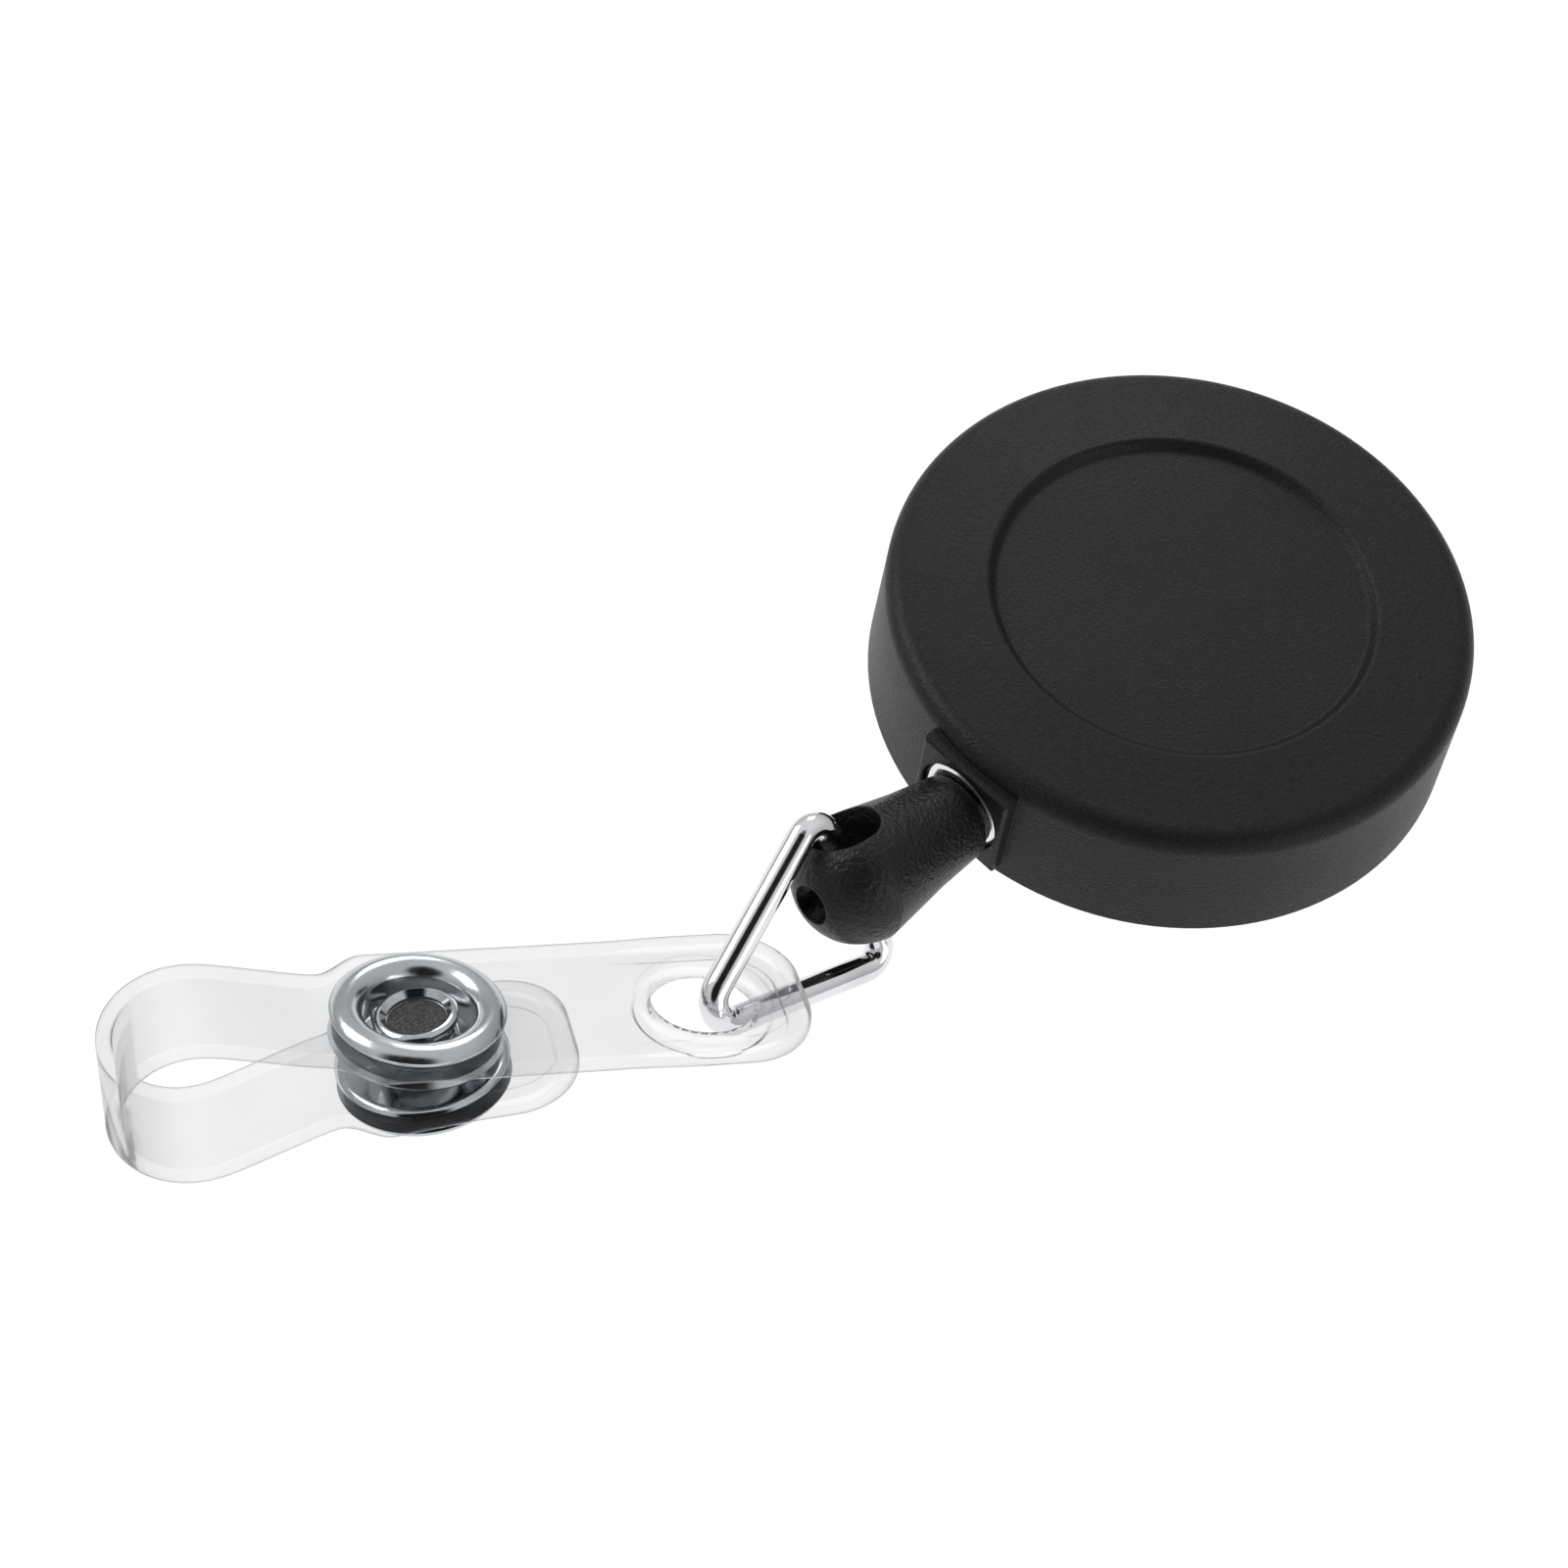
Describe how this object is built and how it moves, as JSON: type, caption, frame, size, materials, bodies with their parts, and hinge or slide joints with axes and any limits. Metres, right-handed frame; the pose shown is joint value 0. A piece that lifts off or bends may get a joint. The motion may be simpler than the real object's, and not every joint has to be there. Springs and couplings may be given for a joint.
{
  "type": "retractable badge reel",
  "caption": "Round sprung cord reel with a belt clip, a cord-end bullet carrying a wire ring, and a clear folded strap that closes with a snap fastener.",
  "frame": {"origin": "centre of the case's flat back face, on the belt clip's rivet and the spool's turning axis", "axes": "+Z out of the round front face along the spool's axis; -Y along the cord as it leaves the case; +X completes a right-handed frame"},
  "size_m": [0.0349, 0.0781, 0.0134],
  "materials": {
    "case_black": "fine grained satin black",
    "bullet_black": "coarse grained satin black",
    "eyelet_nickel": "polished nickel",
    "spool_plastic": "natural moulded",
    "spring_steel": "bright rolled",
    "cord_black": "braided nylon",
    "ring_chrome": "polished",
    "strap_clear": "clear flexible vinyl",
    "snap_nickel": "polished nickel",
    "clip_steel": "nickel plated"
  },
  "bodies": {
    "case": {"front_cover": "case_black", "rear_cover": "case_black", "outlet_eyelet": "eyelet_nickel", "cord_run": "cord_black", "belt_clip_plate": "clip_steel", "belt_clip_rivet": "clip_steel"},
    "spool": {"spool": "spool_plastic", "spool_lid": "spool_plastic", "power_spring": "spring_steel", "cord_coil": "cord_black"},
    "cord_end": {"cord_knot": "cord_black"},
    "bullet": {"cord_end_bullet": "bullet_black"},
    "ring": {"wire_ring": "ring_chrome"},
    "strap": {"strap_long_leg": "strap_clear", "strap_fold": "strap_clear", "snap_socket_ring": "snap_nickel", "snap_socket_base": "snap_nickel", "snap_spring": "spring_steel"},
    "flap": {"strap_short_leg": "strap_clear", "snap_stud": "snap_nickel", "snap_post_cap": "snap_nickel"},
    "clip_tongue": {"belt_clip_tongue": "clip_steel"}
  },
  "joints": [
    {"name": "cord_pull", "type": "slide", "parent": "case", "child": "cord_end", "axis": [0, -1, 0], "range_m": [0, 0.6], "stiffness_N_per_m": 0.8, "springref_m": -0.75, "deforming": ["cord_run"]},
    {"name": "spool_spin", "type": "hinge", "parent": "case", "child": "spool", "pos_m": [0, 0, 0], "axis": [0, 0, 1], "range_deg": [-2800, 0], "deforming": ["power_spring"]},
    {"name": "bullet_swivel", "type": "hinge", "parent": "cord_end", "child": "bullet", "pos_m": [0.00017, -0.0168, 0.0031], "axis": [-0.0433, -0.9906, 0.1297], "continuous": true},
    {"name": "ring_swing", "type": "hinge", "parent": "bullet", "child": "ring", "pos_m": [-0.00015, -0.02415, 0.00406], "axis": [-0.5408, 0.1323, 0.8306], "range_deg": [-70, 85]},
    {"name": "strap_pivot", "type": "hinge", "parent": "ring", "child": "strap", "pos_m": [-0.00021, -0.03394, 0.00247], "axis": [-0.5412, -0.0958, 0.8354], "range_deg": [-50, 60]},
    {"name": "snap_open", "type": "hinge", "parent": "strap", "child": "flap", "pos_m": [-0.01353, -0.05651, 0.00357], "axis": [-0.8011, 0.4797, -0.3579], "range_deg": [0, 60], "deforming": ["strap_fold", "snap_spring"]},
    {"name": "clip_flex", "type": "hinge", "parent": "case", "child": "clip_tongue", "pos_m": [0, 0.0112, -0.0043], "axis": [1, 0, 0], "range_deg": [0, 12]}
  ],
  "couplings": [
    {"joint": "spool_spin", "follows": "cord_pull", "rad_per_m": -79.051}
  ]
}
